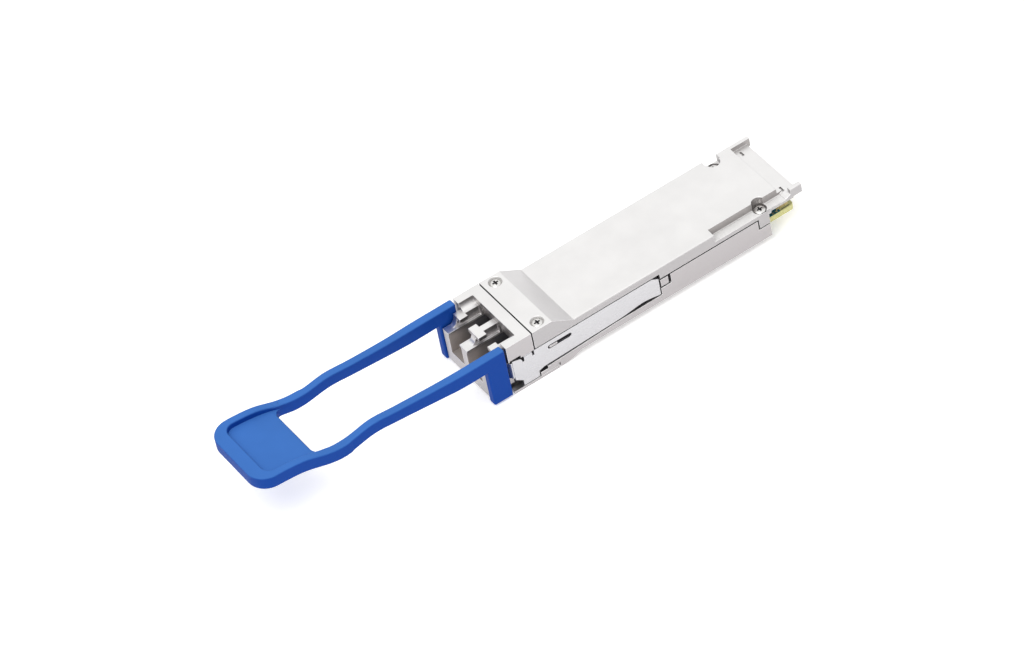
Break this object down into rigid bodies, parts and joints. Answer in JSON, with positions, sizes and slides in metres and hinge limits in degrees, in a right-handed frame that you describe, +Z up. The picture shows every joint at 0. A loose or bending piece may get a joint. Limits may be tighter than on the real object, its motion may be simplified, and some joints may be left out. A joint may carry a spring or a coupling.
{
  "type": "optical transceiver module",
  "caption": "Pluggable fibre-optic transceiver: flat metal housing with duplex LC-type receptacle in a raised nose, edge connector at the rear, blue pull tab on a sprung side latch.",
  "frame": {"origin": "centre of the flat underside of the bottom shell, 32.5 mm behind the seam between nose and cover", "axes": "+Y along the module towards the edge connector, +Z up through the cover, +X to the side with the long rear ledge; the receptacle and pull tab face -Y"},
  "size_m": [0.019, 0.1256, 0.0154],
  "materials": {
    "shell_metal": "satin nickel plate over zinc die casting",
    "cover_metal": "fine bead-blasted satin nickel plate",
    "slider_metal": "smooth satin stamped stainless sheet",
    "screw_metal": "bright nickel",
    "spring_steel": "drawn spring wire and sheet",
    "barrel_metal": "turned stainless steel",
    "tab_plastic": "fine matt moulded blue",
    "board_laminate": "teal solder mask over glass laminate, gold edge contacts",
    "chip_plastic": "moulded epoxy",
    "ceramic": "fired ceramic",
    "gold_plate": "gold-plated kovar",
    "flex_film": "polyimide film",
    "gasket_foam": "conductive foam",
    "thermal_gap_filler": "soft gap filler"
  },
  "bodies": {
    "module": {"bottom_shell": "shell_metal", "top_cover": "cover_metal", "nose_base_plate": "shell_metal", "return_spring_left": "spring_steel", "return_spring_right": "spring_steel", "cover_screw_front_left": "screw_metal", "cover_screw_front_right": "screw_metal", "cover_screw_rear_left": "screw_metal", "cover_screw_rear_right": "screw_metal", "transmitter_barrel": "barrel_metal", "transmitter_ferrule_sleeve": "ceramic", "transmitter_package": "gold_plate", "transmitter_flex": "flex_film", "receiver_barrel": "barrel_metal", "receiver_ferrule_sleeve": "ceramic", "receiver_package": "gold_plate", "receiver_flex": "flex_film", "receptacle_clamp": "spring_steel", "shield_gasket": "gasket_foam", "main_board": "board_laminate", "controller_chip": "chip_plastic", "memory_chip": "chip_plastic", "laser_driver_chip": "chip_plastic", "receiver_chip": "chip_plastic", "power_inductor_left": "chip_plastic", "power_inductor_right": "chip_plastic", "bulk_capacitor_1": "ceramic", "bulk_capacitor_2": "ceramic", "bulk_capacitor_3": "ceramic", "chip_thermal_pad": "thermal_gap_filler", "optics_thermal_pad": "thermal_gap_filler", "floor_thermal_pad": "thermal_gap_filler"},
    "latch": {"latch_slider": "slider_metal", "pull_tab": "tab_plastic"}
  },
  "joints": [
    {"name": "latch_slide", "type": "slide", "parent": "module", "child": "latch", "axis": [0, -1, 0], "range_m": [0, 0.0032], "stiffness_N_per_m": 150, "springref_m": -0.0005, "deforming": ["return_spring_left", "return_spring_right"]}
  ]
}
